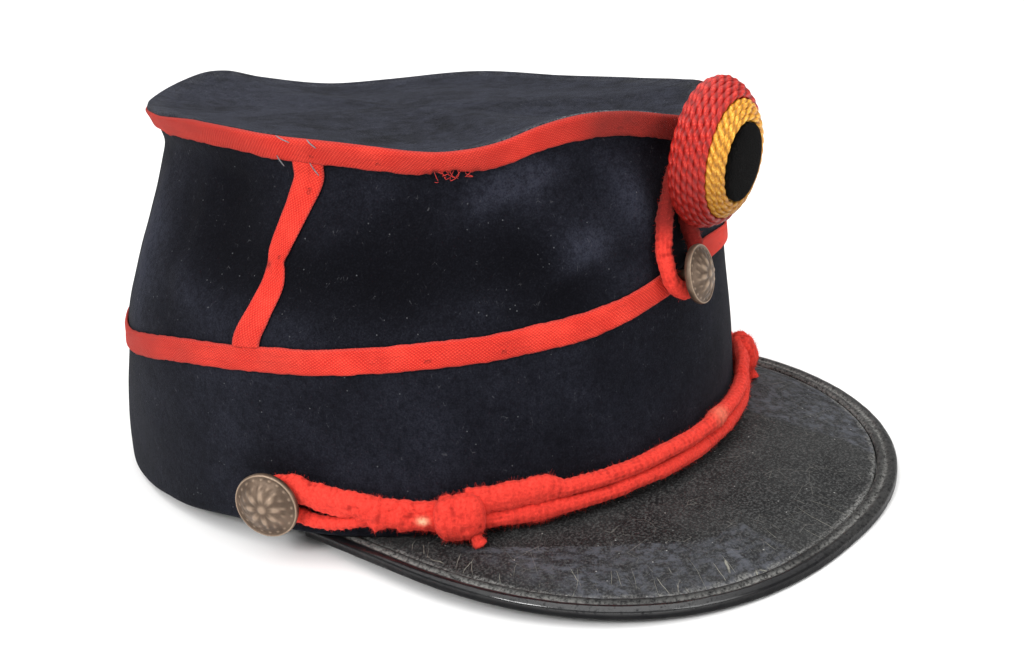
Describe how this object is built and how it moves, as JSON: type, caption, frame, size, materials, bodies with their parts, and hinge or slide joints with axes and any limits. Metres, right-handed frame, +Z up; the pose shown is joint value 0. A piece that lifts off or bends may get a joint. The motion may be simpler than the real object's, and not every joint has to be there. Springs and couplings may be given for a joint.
{
  "type": "kepi cap",
  "caption": "Navy wool kepi with red tapes, a crackled black leather peak, a red wool chin cord, domed buttons and an oval red, yellow and black cockade.",
  "frame": {"origin": "middle of the box round the cap, on the level surface that it rests on", "axes": "+Z up, -Y the way the wearer faces, -X the wearer's right"},
  "size_m": [0.1854, 0.2426, 0.1097],
  "materials": {
    "navy_wool": "fulled wool, worn nap",
    "red_tape": "woven wool tape",
    "red_cord": "fuzzy wool cord",
    "black_leather": "cracked lacquer",
    "aged_bronze": "worn and dull",
    "red_silk": "twisted silky cord",
    "yellow_silk": "twisted silky cord",
    "black_velvet": "pile"
  },
  "bodies": {
    "root": {"band": "navy_wool", "crown_side": "navy_wool", "crown_top": "navy_wool", "tape_band": "red_tape", "tape_crown_edge": "red_tape", "tape_side_right": "red_tape", "tape_side_left": "red_tape", "peak": "black_leather", "peak_binding": "black_leather", "chin_cord_upper": "red_cord", "chin_cord_lower": "red_cord", "chin_cord_knot_right": "red_cord", "chin_cord_knot_left": "red_cord", "chin_cord_end_right": "red_cord", "chin_cord_end_left": "red_cord", "cockade_loop": "red_cord", "button_right": "aged_bronze", "button_left": "aged_bronze", "button_front": "aged_bronze", "cockade_post": "aged_bronze", "cockade_red": "red_silk", "cockade_yellow": "yellow_silk", "cockade_black": "black_velvet"}
  },
  "joints": []
}
